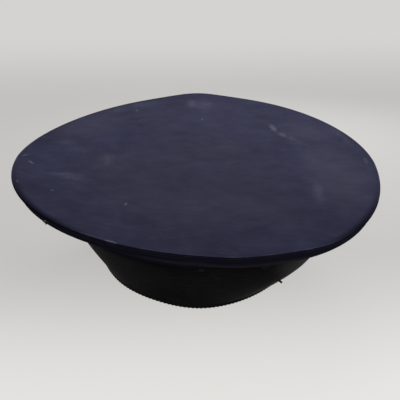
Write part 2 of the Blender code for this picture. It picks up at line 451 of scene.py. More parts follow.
def make_mark():
    tree, given, out = open_group(
        "Mark",
        {"Place": "Vector", "Middle": "Vector", "Half size": "Vector", "Turn": "Float",
         "Broken": "Float"},
        "Mask",
    )
    away = vector_node(tree, "SUBTRACT", given["Place"], given["Middle"])
    turned = add(tree, "VectorRotate", {"Vector": away, "Angle": given["Turn"]},
                 rotation_type="Z_AXIS").outputs[0]
    shares = vector_node(tree, "DIVIDE", turned, given["Half size"])
    flat = vector_node(tree, "MULTIPLY", shares, (1, 1, 0))
    soft = fade(tree, vector_node(tree, "LENGTH", flat, gives="Value"), *MARK_SOFTNESS)
    lumps = grain(tree, given["Place"], scale=1300, detail=3, roughness=0.7)
    lumps = times(tree, soft, MORE_IN_THE_MIDDLE, lumps)
    specks = fade(tree, lumps, *SPECK_LEVELS)
    kept = math_node(tree, "SUBTRACT", 1, given["Broken"])
    haze = times(tree, soft, kept)
    greyed = times(tree, specks, fade(tree, soft, *SPECKS_REACH))
    tree.links.new(times(tree, greyed, given["Broken"], haze), out["Mask"])
    return tree


woven_ribs = make_woven_ribs()
worn_nap = make_worn_nap()
mark = make_mark()
print("shared effects:", ", ".join(tree.name for tree in (woven_ribs, worn_nap, mark)))

# %% [markdown]
# The navy cloth is a fine wool twill with a soft nap. Its threads scatter light back at a low
# angle, which Blender's sheen gives. Light has faded it towards the middle of the top, and
# rubbing has left it paler in patches. The top has the marks that years of handling left: a
# rubbed spot at the front point, a scuff and a smudge on the right, and lint here and there.
# They are listed with their places on the top in millimetres, measured from the middle of the
# cap's opening, their turn in degrees, and the share of them that is broken into specks. Noise
# bends the outlines of all but the small ones, so that none is a clean oval.

# %% Marks on the top
MARK_COLUMNS = ("x", "y", "half_length", "half_width", "turn", "broken", "strength")
MARKS = (
    (-5, 107, 8, 12, 0, 0.60, 0.42),
    (8.5, 105.5, 9, 9, 0, 0.60, 0.34),
    (3, 104, 24, 16, 0, 0.55, 0.24),
    (0, 80, 120, 66, 0, 0.30, 0.065),
    (-92, 68, 60, 46, 25, 0.25, 0.115),
    (91, 51, 44, 31, -25, 0.25, 0.130),
    (15, -76, 120, 34, 0, 0.20, 0.050),
    (-48, 108, 32, 9, 14, 0.60, 0.20),
    (-72, 94, 22, 8, 26, 0.60, 0.15),
    (3.3, 78, 1.5, 2.6, 0, 0, 0.36),
    (6.7, 66.2, 1.2, 2, 0, 0, 0.20),
    (64.6, 60, 12.5, 3.6, -72, 0.45, 0.54),
    (71.6, 47.6, 10, 5, -58, 0.60, 0.44),
    (78.5, 40, 11, 6, -52, 0.80, 0.34),
    (86, 31, 13, 9, -50, 0.85, 0.18),
    (90, -48, 8, 28, -3, 0.15, 0.21),
    (88.5, -32, 7, 13, -3, 0.20, 0.12),
    (110, -26, 42, 80, 0, 0.20, 0.15),
    (100, 2, 36, 44, 0, 0.35, 0.15),
    (105, 22, 8, 9, 0, 0.80, 0.20),
    (121, 42, 44, 7, -67, 0.90, 0.26),
    (134, 0, 3, 9, 0, 0.80, 0.42),
    (127, -58, 5, 18, 8, 0.95, 0.18),
    (-138, -1, 5, 2.6, 50, 0.45, 0.36),
    (-131, -15, 5.5, 2, -50, 0.35, 0.52),
    (-103, -33, 20, 6, 4, 0.80, 0.34),
    (-97, -39, 12, 7, -10, 0.75, 0.26),
    (-107, -65, 2, 2.2, 0, 0, 0.30),
    (-134, -55, 1.8, 4.5, 12, 0.3, 0.45),
    (-74, -5, 28, 36, 0, 0.90, 0.09),
    (-72.5, 0, 8, 17, 0, 0.90, 0.36),
    (-110, 30, 14, 10, 0, 0.60, 0.18),
    (-97, 16, 18, 10, -20, 0.60, 0.15),
    (-91, 66, 24, 9, 24, 0.60, 0.16),
    (-55, 95.6, 1.8, 2.8, 0, 0.2, 0.40),
    (-49, 76, 10, 5, 40, 0.60, 0.16),
    (26, 26, 26, 14, 0, 0.70, 0.10),
    (-53, -77, 1.7, 3.6, 0, 0.2, 0.58),
    (-72, -127.6, 20, 1.6, -22, 0.4, 0.34),
    (-58.6, -133.4, 5.6, 1.5, -20, 0, 4.00),
)
BEND_SCALE = 190.0
BEND_REACH = 0.007
SMALL_MARK = 3
print(len(MARKS), "marks on the top")


def add_marks(tree, weave, marks):
    """How far the cloth is rubbed pale or dusty at each place, and on the band how far a painted sheen
    lightens it.
    """
    bend = add(tree, "TexNoise", {"Vector": weave, "Scale": BEND_SCALE, "Detail": 3.0}).outputs[1]
    bend = vector_node(tree, "SUBTRACT", bend, (0.5, 0.5, 0.5))
    bent = vector_node(tree, "MULTIPLY_ADD", bend, (BEND_REACH, BEND_REACH, 0), weave)
    worn = None
    for row in marks:
        spot = dict(zip(MARK_COLUMNS, row))
        made = use_group(tree, mark, {
            "Place": bent if spot["half_width"] > SMALL_MARK else weave,
            "Middle": (spot["x"] / 1000, spot["y"] / 1000, 0),
            "Half size": (spot["half_length"] / 1000, spot["half_width"] / 1000, 1),
            "Turn": -math.radians(spot["turn"]),
            "Broken": spot["broken"],
        })
        mask = times(tree, made["Mask"], spot["strength"])
        worn = mask if worn is None else math_node(tree, "MAXIMUM", worn, mask)
    return worn


# %% [markdown]
# Along its edge the top has painted shade: darker where the cloth turns over, darker again at the left
# and the right rear, and darkest on its cut wall. It is also rubbed pale in patches. Each point of the
# cloth knows how far it is from the edge, so an effect needs only two distances: where it starts and
# where it is full.

# %% Painted shade and wear along the edge
# A dark navy for painted shade: in the weave's valleys, along the top's edge and on its cut wall.
PAINTED_SHADE_NAVY = (0.004, 0.004, 0.009, 1)
# A dark navy for painted shade under the crown.
CROWN_SHADE_NAVY = (0.0058, 0.0055, 0.0092, 1)
FADED_NAVY = (0.0446, 0.0402, 0.0644, 1)
RUBBED_NAVY = (0.180, 0.175, 0.240, 1)
TURNED_SHADE_REACH = (0.0045, 0.0003)
TURNED_SHADE_SHARE = 0.6
RUBBED_REACH = (0.0018, 0.0006)
RUBBED_SHARE = 0.25
EDGE_SHADE_REACH = (0.0068, 0.0)
WALL_SHADE_REACH = (0.00045, 0.00015)
WALL_SHADE_SHARE = 0.90


def add_edge_shade_and_wear(tree, colour, dark, patches):
    rim = carried(tree, "rim")
    edge_shaded = carried(tree, "grime")
    # Painted shade where the cloth turns over the edge.
    colour = tinted(tree, colour, dark, fade(tree, rim, *TURNED_SHADE_REACH), TURNED_SHADE_SHARE)
    rubbed = times(tree, fade(tree, rim, *RUBBED_REACH), patches)
    colour = tinted(tree, colour, RUBBED_NAVY, rubbed, RUBBED_SHARE)
    # Painted shade along the edge at the left and the right rear, which makes the edge look more
    # rounded there.
    colour = tinted(tree, colour, PAINTED_SHADE_NAVY, fade(tree, rim, *EDGE_SHADE_REACH), edge_shaded)
    # Painted shade on the top's cut wall.
    return tinted(tree, colour, PAINTED_SHADE_NAVY, fade(tree, rim, *WALL_SHADE_REACH), WALL_SHADE_SHARE)


# %% [markdown]
# One function makes both navy cloths. The top's has faded in the middle and has the marks. The side's
# has neither. It is darker than the top's, partly as cloth that light hasn't faded and partly as
# painted shade, and it gets more painted shade under the crown's wide back.

# %% Navy cloth
FADED_MIDDLE = (-CROWN_SHIFT_LEFT, -0.030, 0)
FADED_REACH = (0.100, 0.045)
FADED_SHARE = 0.55
BLOTCH_SHARE = 0.30
STREAK_SHARE = 0.28
VALLEY_SHADE_SHARE = 0.25
CROWN_SHADE_SHARE = 0.90
NAP_HEIGHT = 0.5


def make_navy_cloth(name, sheen, base, dark, pale, marks=()):
    material, tree, shader = open_material(
        name, roughness=0.95, Specular_IOR_Level=sheen / 2, Sheen_Weight=sheen,
        Sheen_Roughness=0.40, Sheen_Tint=(0.66, 0.66, 0.90, 1),
    )
    weave = weave_map(tree)
    nap = use_group(tree, worn_nap, {"Weave": weave})
    ribs = use_group(tree, woven_ribs, {
        "Weave": weave, "Pitch": 0.0011, "Slant": math.radians(45), "Wander": 0.0006,
    })
    colour = blend_colour(tree, nap["Cloud"], dark, base)
    if marks:
        away = vector_node(tree, "DISTANCE", weave, FADED_MIDDLE, gives="Value")
        faded = fade(tree, away, *FADED_REACH)
        colour = tinted(tree, colour, FADED_NAVY, faded, FADED_SHARE)
    colour = tinted(tree, colour, pale, nap["Blotch"], BLOTCH_SHARE)
    colour = tinted(tree, colour, pale, nap["Streak"], STREAK_SHARE)
    # Painted shade in the valleys of the weave.
    shaded_valleys = math_node(tree, "SUBTRACT", 1, ribs["Height"])
    colour = tinted(tree, colour, PAINTED_SHADE_NAVY, shaded_valleys, VALLEY_SHADE_SHARE)
    if marks:
        colour = blend_colour(tree, add_marks(tree, weave, marks), colour, RUBBED_NAVY)
        colour = add_edge_shade_and_wear(tree, colour, dark, nap["Blotch"])
    else:
        # Painted shade under the crown's wide back.
        colour = tinted(tree, colour, CROWN_SHADE_NAVY, carried(tree, "shelter"), CROWN_SHADE_SHARE)
    height = times(tree, nap["Fluff"], NAP_HEIGHT, ribs["Height"])
    close_material(tree, shader, colour, height, strength=0.35, distance=0.0002)
    return material


top_cloth = make_navy_cloth(
    "navy_cloth_top", sheen=0.030, base=(0.0374, 0.0376, 0.0748, 1),
    dark=(0.0294, 0.0294, 0.0557, 1), pale=(0.0680, 0.0680, 0.1185, 1), marks=MARKS,
)
# The welt and the panels get a darker navy than the top: partly cloth that light hasn't faded, partly
# painted shade.
unfaded_shaded_side_cloth = make_navy_cloth(
    "navy_cloth_side_unfaded_shaded", sheen=0.012, base=(0.0225, 0.0220, 0.0410, 1),
    dark=(0.0170, 0.0168, 0.0320, 1), pale=(0.0430, 0.0420, 0.0690, 1),
)
print("made", top_cloth.name, "and", unfaded_shaded_side_cloth.name)

# %% [markdown]
# The band is a black mohair braid of hard ribs with a fine shine. Across the back and the right rear
# its colour is lightened as a painted sheen, where light grazes the braid, and a few small dust marks
# lie at the back. Their places are listed as the top's marks are, in millimetres along the braid and
# up from its lower edge.


# %% Dust and painted sheen on the band
BAND_DUST_AND_SHEEN = (
    # Painted sheen, where light grazes the braid: a broad lightening across the back and the right
    # rear, and brighter patches at the right rear.
    (505, 24, 70, 24, 0, 0.25, 0.06),
    (552, 25, 44, 18, -15, 0.40, 0.58),
    (545, 15, 48, 7.5, 13, 0.55, 0.40),
    (517, 33, 9, 4.5, 0, 0.30, 0.24),
    (546, 35.5, 34, 4, 0, 0.40, 0.42),
    # Small dust marks at the back.
    (471, 36.5, 4, 1.8, 0, 0.20, 0.22),
    (480, 31, 8, 3.2, -30, 0.50, 0.14),
    (483, 12.5, 1, 5.5, 0, 0.20, 0.12),
)
print(len(BAND_DUST_AND_SHEEN), "marks on the band")


# %% Black mohair braid
BRAID_BLACK = (0.0042, 0.0043, 0.0052, 1)
BRAID_DEEP_BLACK = (0.0028, 0.0029, 0.0036, 1)
DUST_AND_SHEEN_GREY = (0.06, 0.059, 0.056, 1)
FINE_DUST_SHARE = 0.12
BRAID_NAP_HEIGHT = 0.6


def make_mohair():
    material, tree, shader = open_material(
        "black_mohair_braid", roughness=0.70, Specular_IOR_Level=0.03, Sheen_Weight=0.03,
        Sheen_Roughness=0.22, Sheen_Tint=(0.9, 0.9, 0.9, 1),
    )
    weave = weave_map(tree)
    nap = use_group(tree, worn_nap, {"Weave": weave})
    ribs = use_group(tree, woven_ribs, {
        "Weave": weave, "Pitch": 0.0018, "Slant": math.radians(90), "Wander": 0.0008,
    })
    colour = blend_colour(tree, nap["Cloud"], BRAID_DEEP_BLACK, BRAID_BLACK)
    greyed = times(tree, nap["Fluff"], nap["Streak"])
    # The band's marks are painted sheen at the right rear and dust at the back.
    sheen_and_dust_marks = add_marks(tree, weave, BAND_DUST_AND_SHEEN)
    greyed = times(tree, greyed, FINE_DUST_SHARE, sheen_and_dust_marks)
    colour = blend_colour(tree, greyed, colour, DUST_AND_SHEEN_GREY)
    height = times(tree, nap["Fluff"], BRAID_NAP_HEIGHT, ribs["Height"])
    close_material(tree, shader, colour, height, strength=0.5, distance=0.0003)
    return material


mohair = make_mohair()
print("made", mohair.name)

# %% [markdown]
# The peak is plain polished leather. Its grain is a fine net of cells that shows only where the
# light glances off it, and the edge is rubbed dull.


# %% Black leather
LEATHER_BLACK = (0.0095, 0.0095, 0.0102, 1)
LEATHER_DEEP_BLACK = (0.0055, 0.0055, 0.0062, 1)
LEATHER_ROUGHNESS = (0.22, 0.40)
CREASE_REACH = (0.0, 0.12)
DULL_REACH = (0.0022, 0.0008)
DULL_ROUGHER = 0.25


def make_leather():
    material, tree, shader = open_material(
        "black_leather_polished", roughness=0.30, Specular_IOR_Level=0.26, Coat_Weight=0.08,
        Coat_Roughness=0.14,
    )
    weave = weave_map(tree)
    cells = add(tree, "TexVoronoi", {"Vector": weave, "Scale": 900.0}, feature="DISTANCE_TO_EDGE")
    creases = fade(tree, cells.outputs["Distance"], *CREASE_REACH)
    handled = grain(tree, weave, scale=30, detail=4, roughness=0.6)
    colour = blend_colour(tree, handled, LEATHER_DEEP_BLACK, LEATHER_BLACK)
    rubbed = fade(tree, carried(tree, "rim"), *DULL_REACH)
    smoothest, roughest = LEATHER_ROUGHNESS
    dull = add(tree, "MapRange", {0: handled, 3: smoothest, 4: roughest}).outputs[0]
    dull = times(tree, rubbed, DULL_ROUGHER, dull)
    tree.links.new(dull, shader.inputs["Roughness"])
    close_material(tree, shader, colour, creases, strength=0.15, distance=0.0001)
    return material


leather = make_leather()
print("made", leather.name)

# %% [markdown]
# The top is one round cut of cloth. A circle gives its outline, and insets lay rings inside it, close
# together at the edge where the cloth turns and wide apart in the middle. The rings are then carried
# to the crown's outline, and the cloth gets its thickness with a rounded edge. A table says where
# shade is painted along the edge, at the left and the right rear.

# %% Crown top
TOP_THICKNESS = 0.0020
CLOTH_ROUNDING = 0.0004
TOP_COLUMNS = 384
TOP_RINGS = (0.996, 0.990, 0.980, 0.965, 0.945, 0.92, 0.89, 0.85, 0.80, 0.74, 0.67, 0.59,
             0.50, 0.41, 0.32, 0.23, 0.14, 0.06)
TOP_UNEVEN = 0.0006
TOP_UNEVEN_SIZE = 0.045
TOP_FIRM = 0.10
# Places along the top's edge that get painted shade, and how much.
SHADED_EDGE_COLUMNS = ("angle", "half_width", "strength")
SHADED_EDGES = (
    (200, 22, 0.35),
    (222, 34, 0.95),
    (324, 29, 0.93),
)


def inset_rings():
    bpy.ops.mesh.select_mode(type="FACE")
    for outer, inner in zip((1, *TOP_RINGS), TOP_RINGS):
        bpy.ops.mesh.inset(thickness=outer - inner)
    bpy.ops.mesh.poke()


def on_top(cut):
    angle = math.atan2(cut.y, cut.x)
    share = min(cut.length, 1)
    point = top_point(angle, share)
    point.z += roll(point, TOP_UNEVEN_SIZE, TOP_UNEVEN) * min((1 - share) / TOP_FIRM, 1)
    return point


def top_rim(cut):
    return (1 - min(cut.length, 1)) * CROWN_HALF_WIDTH


def top_grime(cut):
    """How much painted shade the nearest edge gets."""
    angle = math.atan2(cut.y, cut.x)
    return sum_at(angle, SHADED_EDGE_COLUMNS, SHADED_EDGES, lambda edge: edge["strength"])


bpy.ops.mesh.primitive_circle_add(vertices=TOP_COLUMNS, radius=1, fill_type="NGON")
crown_top = bpy.context.object
crown_top.name = crown_top.data.name = "crown_top_cloth"
in_edit_mode(inset_rings)
carry(crown_top, on_top, lambda cut: on_top(cut).xy, rim=top_rim, grime=top_grime)
thicken(TOP_THICKNESS, CLOTH_ROUNDING)
finish_piece(crown_top, top_cloth, "navy_cloth", "crown_top")

# %% [markdown]
# Shade is painted into the cloth below the crown's wide back, which is darker there than at the front.
# The welt and the panels carry a number that says how much of this painted shade each point gets: 0 at
# the front, 1 at the back, with a soft change along the sides.


# %% Painted shade under the crown
CROWN_SHADE_STARTS = 0.25
CROWN_SHADE_GROWS_OVER = 0.6


def smooth_step(value):
    """0 up to 0, 1 from 1 on, with soft ends between."""
    share = min(max(value, 0), 1)
    return share * share * (3 - 2 * share)


# Painted shade under the crown: 0 at the front, 1 at the back.
def shelter(angle):
    return smooth_step((CROWN_SHADE_STARTS - math.sin(angle)) / CROWN_SHADE_GROWS_OVER)


print(f"shelter: {shelter(math.pi / 2):.1f} in front, {shelter(-math.pi / 2):.1f} behind")

# %% [markdown]
# The welt is a strip of cloth that is rolled round a cord and sewn in under the top's edge. A
# flat strip is rolled lengthwise into a tube and taken round the rim, and its stitches pull it
# in a little every few millimetres.

# %% Crown welt
SEAM_GAP = 0.0003
WELT_HEIGHT = 0.0030
WELT_WIDTH = 0.0044
WELT_SET_IN = 0.0016
WELT_TOP = TOP_THICKNESS + SEAM_GAP
WELT_FOOT = WELT_TOP + WELT_HEIGHT
WELT_COLUMNS = 960
WELT_ROUND = 14
WELT_SQUARENESS = 0.85
WELT_STITCH = 0.0034
WELT_PULL = 0.00014
WELT_CROWN_SHADE = 0.90
WELT_STITCHES = round(RIM_LENGTHS[-1] / WELT_STITCH)
ROUND_AN_OVAL = 1.6


def on_welt(cut):
    angle = math.tau * cut.x
    turn = -math.tau * cut.y
    stitches = length_at(RIM_LENGTHS, cut.x) / RIM_LENGTHS[-1] * WELT_STITCHES
    pull = WELT_PULL * math.cos(math.tau * stitches) ** 2
    across = signed_power(math.cos(turn), WELT_SQUARENESS) * (WELT_WIDTH / 2 - pull)
    high = signed_power(math.sin(turn), WELT_SQUARENESS) * (WELT_HEIGHT / 2 - pull)
    centre = under_rim(angle, WELT_SET_IN + WELT_WIDTH / 2, WELT_TOP + WELT_HEIGHT / 2)
    return centre + rim_outward(angle) * across + UP * high


def welt_weave(cut):
    """Along the rim, and round the roll, which is an oval."""
    return length_at(RIM_LENGTHS, cut.x), cut.y * (WELT_WIDTH + WELT_HEIGHT) * ROUND_AN_OVAL


crown_welt = cut_strip("crown_welt_roll", WELT_COLUMNS, WELT_ROUND)
# The welt gets painted shade under the crown's back.
carry(crown_welt, on_welt, welt_weave,
      shelter=lambda cut: WELT_CROWN_SHADE * shelter(math.tau * cut.x))
in_edit_mode(sew_ends)
finish_piece(crown_welt, unfaded_shaded_side_cloth, "navy_cloth", "crown_welt")

# %% [markdown]
# Band and panels share one outline, so it comes before both. The band is a smaller oval than
# the crown, and it leans out on its way up. With age it has spread, most at the right rear. The
# table of spreads says how far, in shares of its side's lean: the lean grows from the lower
# edge to the upper one, and the bulge is greatest halfway between them.

# %% Sizes of the band
BAND_HALF_WIDTH = 0.0830
BAND_HALF_LENGTH = 0.1020
BAND_FRONT_ROUNDNESS = 2.0
BAND_BACK_ROUNDNESS = 1.85
BAND_HEIGHT = 0.0379
BAND_SIDE_LEAN = 0.0236
BAND_END_LEAN = 0.0056
BAND_SPREAD_COLUMNS = ("angle", "half_width", "lean", "bulge")
BAND_SPREAD = (
    (-42, 70, 0.15, 0.36),
    (-152, 46, 0.00, 0.03),
)
print(f"band's foot: {2000 * BAND_HALF_WIDTH:.0f} mm wide, {2000 * BAND_HALF_LENGTH:.0f} mm long")


# %% Outline of the band
def band_spread(angle, lean):
    """Extra lean of the old band, as a share of its side lean."""
    def worth(spread):
        return spread["lean"] * lean + spread["bulge"] * arch(lean)

    return sum_at(angle, BAND_SPREAD_COLUMNS, BAND_SPREAD, worth)


def band_outline(angle, lean=0.0, height=0.0):
    """Outer face of the band: how far it leans there, from 0 to 1, and its height."""
    across, ahead = oval(angle, BAND_FRONT_ROUNDNESS, BAND_BACK_ROUNDNESS)
    spread = Vector((across, ahead, 0)).normalized() * band_spread(angle, lean) * BAND_SIDE_LEAN
    return spread + Vector((
        (BAND_HALF_WIDTH + BAND_SIDE_LEAN * lean) * across,
        (BAND_HALF_LENGTH + BAND_END_LEAN * lean) * ahead,
        height,
    ))


def outward(outline, angle):
    """Level direction square to an outline, pointing out."""
    step = 0.01
    along = outline(angle + step) - outline(angle - step)
    return Vector((along.y, -along.x, 0)).normalized()


BAND_LENGTHS = turned_lengths(lambda angle: band_outline(angle, 0.5), LENGTH_STEPS)
print(f"band: {BAND_LENGTHS[-1]:.3f} m round, {BAND_HEIGHT * 1000:.1f} mm high")

# %% [markdown]
# Four panels meet at seams on the front, the back and each side. Each is one strip of cloth
# that goes from the band's top edge up to the welt, with a narrow upright lip along both. It
# swells between its seams, and dips into them where the stitches hold it. Its weave is a little
# shorter round than the rim, and longer up its slope than the slope's level reach.

# %% Side panels
PANEL_THICKNESS = 0.0018
PANEL_SET_IN = 0.0034
PANEL_BELLY = 0.0010
PANEL_SLUMP = 0.0028
LIP = 0.0024
PANEL_COLUMNS = 140
PANEL_ROWS = 22
LIP_ROWS = 2
PANEL_ROUND = 0.9
PANEL_SLOPE = 1.3
PANEL_DIP = 0.0007
PANEL_DIP_REACH = 0.0045
SEAM_HAIR = 0.00001
PANEL_UNEVEN = 0.0006
PANEL_UNEVEN_SIZE = 0.030
PANEL_LENGTH = RIM_LENGTHS[-1] / 4
PANEL_STARTS = {
    "panel_front_right": 0.00,
    "panel_front_left": 0.25,
    "panel_back_left": 0.50,
    "panel_back_right": 0.75,
}


def panel_point(angle, rise):
    """Point on the outer face of the sloping side, from the band at 0 to the welt at 1.

    The side's foot, its crest and the direction out of its face come with the point.
    """
    foot = band_outline(angle, 1, BAND_HEIGHT + SEAM_HAIR)
    crest = under_rim(angle, PANEL_SET_IN, WELT_FOOT + SEAM_GAP)
    low = foot + UP * LIP
    high = crest - UP * LIP
    along = high - low
    level = Vector((along.x, along.y, 0)).normalized()
    outwards = (level * along.z - UP * along.xy.length).normalized()
    swell = arch(rise) * (PANEL_BELLY + PANEL_SLUMP * rim_slack(angle))
    point = low + along * rise + outwards * swell
    return foot, point, crest, outwards


def panel_rule(start):
    """Where a panel that starts at that turn goes, and how its weave lies."""
    def place(cut):
        turn = start + cut.x / 4
        angle = math.tau * turn
        rise = (cut.y * (PANEL_ROWS + LIP_ROWS) - LIP_ROWS / 2) / PANEL_ROWS
        foot, point, crest, outwards = panel_point(angle, min(max(rise, 0), 1))
        if cut.y < 0.5 / PANEL_ROWS:
            return foot
        if cut.y > 1 - 0.5 / PANEL_ROWS:
            return crest
        from_seam = min(cut.x, 1 - cut.x) * PANEL_LENGTH
        dip = PANEL_DIP * math.exp(-(from_seam / PANEL_DIP_REACH) ** 2)
        uneven = roll(point + UP, PANEL_UNEVEN_SIZE, PANEL_UNEVEN) * arch(rise)
        return point + outwards * (uneven - dip)

    def weave(cut):
        reach = (crown_outline(0).x - BAND_HALF_WIDTH - BAND_SIDE_LEAN) * PANEL_SLOPE
        return length_at(RIM_LENGTHS, start + cut.x / 4) * PANEL_ROUND, cut.y * reach

    return place, weave


def panel_shelter(start):
    """Painted shade under the crown along a panel that starts at that turn."""
    return lambda cut: shelter(math.tau * (start + cut.x / 4))


def set_seam_edges_back(piece):
    """Draws a panel's two ends back from its seams by a hair, so that no light gets through."""
    mesh = piece.data
    for vertex in mesh.vertices:
        end = round(vertex.co.x)
        if abs(vertex.co.x - end) < 0.25 / PANEL_COLUMNS:
            vertex.co.x = end + (0.5 - end) * SEAM_HAIR / PANEL_LENGTH


for name, start in PANEL_STARTS.items():
    panel = cut_strip(name + "_cloth", PANEL_COLUMNS, PANEL_ROWS + LIP_ROWS)
    set_seam_edges_back(panel)
    place, weave = panel_rule(start)
    # Each panel gets painted shade under the crown's back.
    carry(panel, place, weave, shelter=panel_shelter(start))
    thicken(PANEL_THICKNESS, CLOTH_ROUNDING)
    finish_piece(panel, unfaded_shaded_side_cloth, "navy_cloth", name)

# %% [markdown]
# The band is a straight length of braid, bent to its oval and sewn to itself. It stands upright
# along both edges and leans out between them. Its edges are rounded, and along the lower one
# the stitches leave a row of tiny scallops. The worn foot of the braid stands out a little at
# the back and the left rear.

# %% Band
BAND_THICKNESS = 0.0025
BAND_COLUMNS = 1080
BAND_ROWS = 20
BAND_SCALLOP_ROWS = 2
BAND_SCALLOP = 0.0036
BAND_SCALLOP_DEPTH = 0.00050
BAND_SCALLOPS = round(BAND_LENGTHS[-1] / BAND_SCALLOP)
BAND_UNEVEN = 0.0006
BAND_UNEVEN_SIZE = 0.028
FOOT_FLARE_COLUMNS = ("angle", "half_width", "out")
FOOT_FLARES = (
    (-135, 26, 0.0016),
    (-85, 50, 0.0009),
)
FOOT_FLARE_FALL = 1.5


def foot_flare(angle, lean):
    """How far the braid's worn foot stands out from the stiff band behind it."""
    foot = sum_at(angle, FOOT_FLARE_COLUMNS, FOOT_FLARES, lambda flare: flare["out"])
    return foot * (1 - lean) ** FOOT_FLARE_FALL


def on_band(cut):
    angle = math.tau * cut.x
    leaning = BAND_HEIGHT - 2 * LIP
    height = cut.y * BAND_HEIGHT
    lean = min(max((height - LIP) / leaning, 0), 1)
    scallops = length_at(BAND_LENGTHS, cut.x) / BAND_LENGTHS[-1] * BAND_SCALLOPS
    low = max(1 - cut.y * BAND_ROWS / BAND_SCALLOP_ROWS, 0)
    height += BAND_SCALLOP_DEPTH * low * (0.5 - 0.5 * math.cos(math.tau * scallops))
    point = band_outline(angle, lean, height)
    uneven = roll(point, BAND_UNEVEN_SIZE, BAND_UNEVEN) * arch(cut.y)
    return point + outward(band_outline, angle) * (uneven + foot_flare(angle, lean))


def band_weave(cut):
    return length_at(BAND_LENGTHS, cut.x), cut.y * BAND_HEIGHT


band = cut_strip("band_braid", BAND_COLUMNS, BAND_ROWS)
carry(band, on_band, band_weave)
in_edit_mode(sew_ends)
thicken(BAND_THICKNESS, CLOTH_ROUNDING)
finish_piece(band, mohair, "black_mohair", "band")

# %% [markdown]
# The peak is a crescent of stiff leather. Its root follows the band's front, a little inside
# its wall, and its edge hangs lowest in the middle. A narrow flap of it goes up inside the band,
# where it is sewn on.

# %% Peak
PEAK_HALF_SPAN = math.radians(64)
PEAK_REACH = 0.0440
PEAK_DROP = 0.0260
PEAK_CAMBER = 0.0035
PEAK_THICKNESS = 0.0020
PEAK_ROOT_SHARE = 0.35
PEAK_FORWARD_SHARE = 0.55
PEAK_FULLNESS = 0.75
PEAK_LEVELNESS = 2.6
PEAK_ROUNDING = 0.0007
PEAK_COLUMNS = 120
PEAK_ROWS = 30
PEAK_TIP = 0.965
PEAK_TUCK = 0.0040
TUCK_ROWS = 2
PEAK_SLOPE = 1.15


def band_edge(angle, inset, below):
    """Point a set distance inside the band's lower outline and below it."""
    return band_outline(angle) - outward(band_outline, angle) * inset - UP * below


def on_peak(cut):
    share = (2 * cut.x - 1) * PEAK_TIP
    angle = math.pi / 2 - share * PEAK_HALF_SPAN
    reach = (cut.y * (PEAK_ROWS + TUCK_ROWS) - TUCK_ROWS) / PEAK_ROWS
    if reach < -0.5 / PEAK_ROWS:
        below = SEAM_GAP if reach > -1.5 / PEAK_ROWS else -PEAK_TUCK
        return band_edge(angle, BAND_THICKNESS + SEAM_GAP, below)
    root = band_edge(angle, BAND_THICKNESS * PEAK_ROOT_SHARE, SEAM_GAP)
    depth = math.cos(share * math.pi / 2) ** PEAK_FULLNESS
    side = outward(band_outline, angle)
    forward = side.lerp(Vector((0, 1, 0)), PEAK_FORWARD_SHARE).normalized()
    drop = PEAK_DROP * (1 - abs(share) ** PEAK_LEVELNESS)
    edge = root + forward * PEAK_REACH * depth - UP * drop
    camber = PEAK_CAMBER * arch(reach) * depth
    return root.lerp(edge, reach) + UP * camber


def peak_weave(cut):
    return cut.x * BAND_LENGTHS[-1] * PEAK_HALF_SPAN / math.pi, cut.y * PEAK_REACH * PEAK_SLOPE


peak = cut_strip("peak_leather", PEAK_COLUMNS, PEAK_ROWS + TUCK_ROWS)
carry(peak, on_peak, peak_weave, rim=lambda cut: (1 - cut.y) * PEAK_REACH)
thicken(PEAK_THICKNESS, PEAK_ROUNDING)
finish_piece(peak, leather, "black_leather", "peak")

# %% [markdown]
# Two bits of sewing thread have come loose with age. One has balled up into a small knot under
# the crown's edge at the left rear, and the other is a short end that sticks out of the braid.
# A thread is a strip that is rolled lengthwise into a tube and follows a path. The knot's path
# is a trefoil, the simplest real knot, which a formula gives, and its tube closes on itself.


# %% Thread
THREAD_STEP = 0.002
THREAD_ROUND = 10


def on_thread(path, radius, square):
    """Rolls a strip into a tube round a path, which gives a point for 0 to 1 along it.

    The path never runs along the direction that is called square.
    """
    def place(cut):
        along = (path(cut.x + THREAD_STEP) - path(cut.x - THREAD_STEP)).normalized()
        side = along.cross(square).normalized()
        turn = -math.tau * cut.y
        ring = side * math.cos(turn) + side.cross(along) * math.sin(turn)
        return path(cut.x) + ring * radius

    return place


def make_thread(name, path, radius, square, columns, length):
    strip = cut_strip(name, columns, THREAD_ROUND)
    round_it = math.tau * radius
    carry(strip, on_thread(path, radius, square), lambda cut: (cut.x * length, cut.y * round_it))
    in_edit_mode(sew_ends)
    return strip


# %% Dark thread
THREAD_DARK = (0.004, 0.004, 0.005, 1)
THREAD_RIDGE_HIGHLIGHT = (0.025, 0.025, 0.030, 1)
FLECK_PALE = (0.40, 0.40, 0.40, 1)
FLECK_REACH = (0.0008, 0.0005)


def make_thread_finish(pale_place):
    """Dark twisted thread, with a painted highlight on the ridges of its twist and a pale fleck at one
    place.
    """
    material, tree, shader = open_material(
        "dark_thread", roughness=0.85, Specular_IOR_Level=0.1,
    )
    weave = weave_map(tree)
    twist = use_group(tree, woven_ribs, {
        "Weave": weave, "Pitch": 0.0004, "Slant": math.radians(35), "Wander": 0.0001,
    })
    # Painted highlight on the ridges of the twist.
    colour = blend_colour(tree, twist["Height"], THREAD_DARK, THREAD_RIDGE_HIGHLIGHT)
    place = add(tree, "TexCoord", {}).outputs["Object"]
    away = vector_node(tree, "DISTANCE", place, pale_place, gives="Value")
    pale = fade(tree, away, *FLECK_REACH)
    colour = blend_colour(tree, pale, colour, FLECK_PALE)
    close_material(tree, shader, colour, twist["Height"], strength=0.4, distance=0.0001)
    return material


